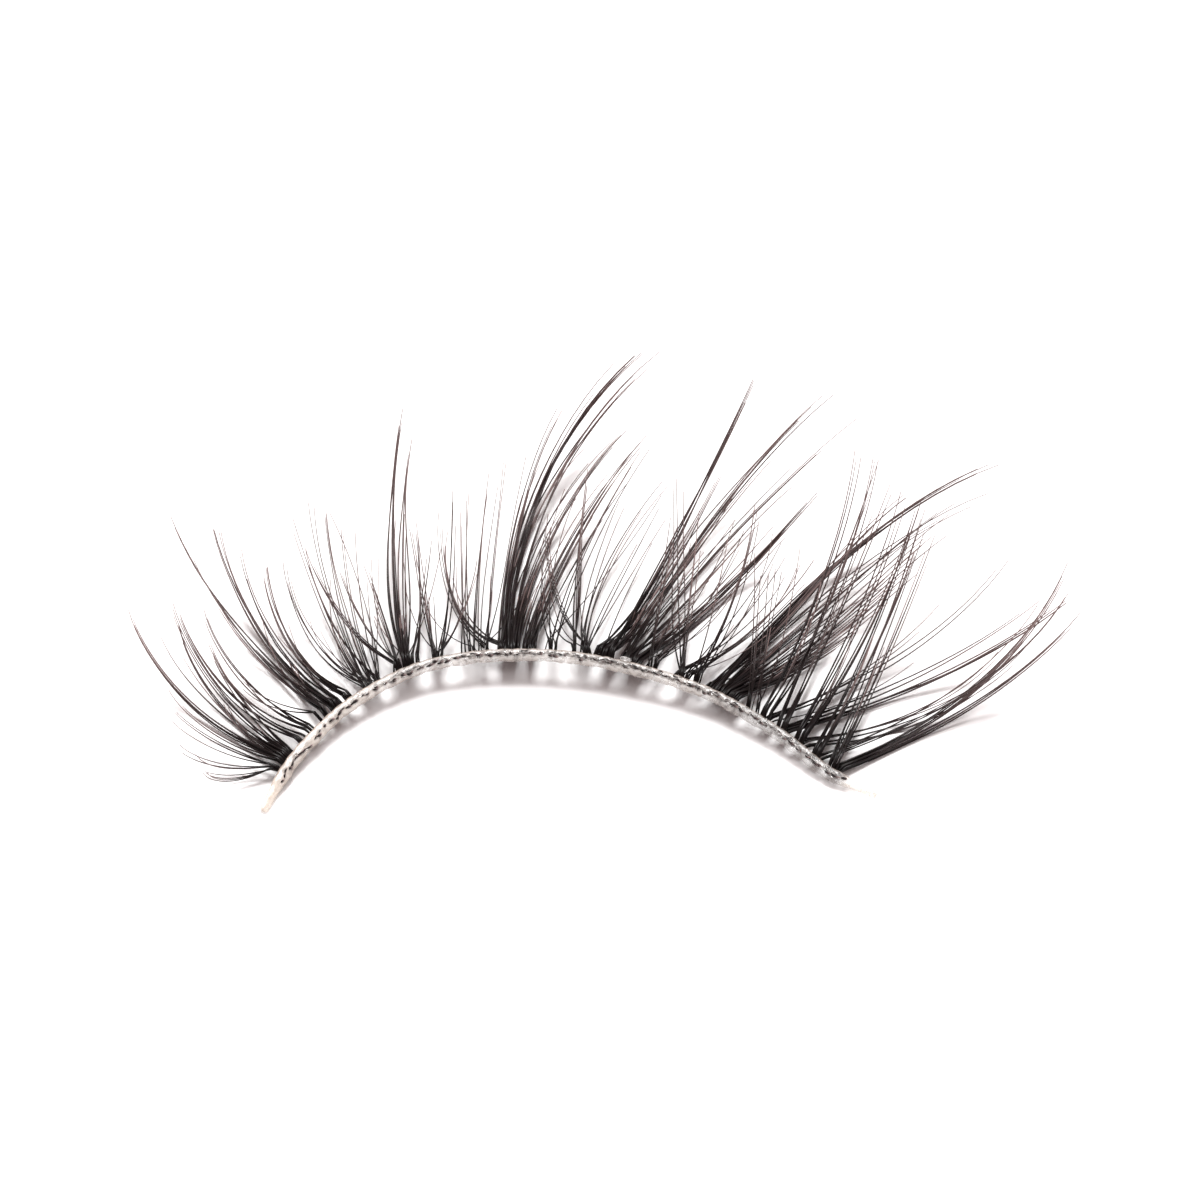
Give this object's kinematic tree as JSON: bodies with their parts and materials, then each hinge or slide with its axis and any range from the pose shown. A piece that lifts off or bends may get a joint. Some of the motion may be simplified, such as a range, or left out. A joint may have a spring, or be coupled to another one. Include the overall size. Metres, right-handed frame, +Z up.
{
  "type": "false eyelash strip",
  "caption": "Clear ribbon bent to an eyelid's curve, with a knotted thread along its face and locks of tapered, upward-curled black lashes fanned along its outer edge.",
  "frame": {"origin": "middle of the bottom of the strip's box, on the surface that it lies on", "axes": "+X towards the outer corner of the eye, +Y the way that the lashes point, +Z up"},
  "size_m": [0.0446, 0.0244, 0.0063],
  "materials": {
    "clear_band": "clear milky film, glossy, cream at the bare tails",
    "knot_thread": "fine twisted thread, silvery",
    "lash_hair": "black synthetic hair with a soft sheen, brownish at the thin tips"
  },
  "bodies": {
    "root": {"clear_band": "clear_band", "knot_thread": "knot_thread", "inner_low": "lash_hair", "inner_fan": "lash_hair", "inner_pair": "lash_hair", "inner_curl": "lash_hair", "inner_tall": "lash_hair", "cross_left": "lash_hair", "spike": "lash_hair", "small_pair": "lash_hair", "small_trio": "lash_hair", "grand": "lash_hair", "small_knot": "lash_hair", "cross_mid": "lash_hair", "fan_left": "lash_hair", "fan_right": "lash_hair", "mid_tuft": "lash_hair", "mid_sweep": "lash_hair", "mid_up": "lash_hair", "wing": "lash_hair", "thin_uprights": "lash_hair", "outer_up_1": "lash_hair", "outer_side_1": "lash_hair", "outer_up_2": "lash_hair", "outer_side_2": "lash_hair", "outer_up_3": "lash_hair", "outer_side_3": "lash_hair", "outer_up_4": "lash_hair", "outer_side_4": "lash_hair", "outer_up_5": "lash_hair", "outer_side_5": "lash_hair"}
  },
  "joints": []
}
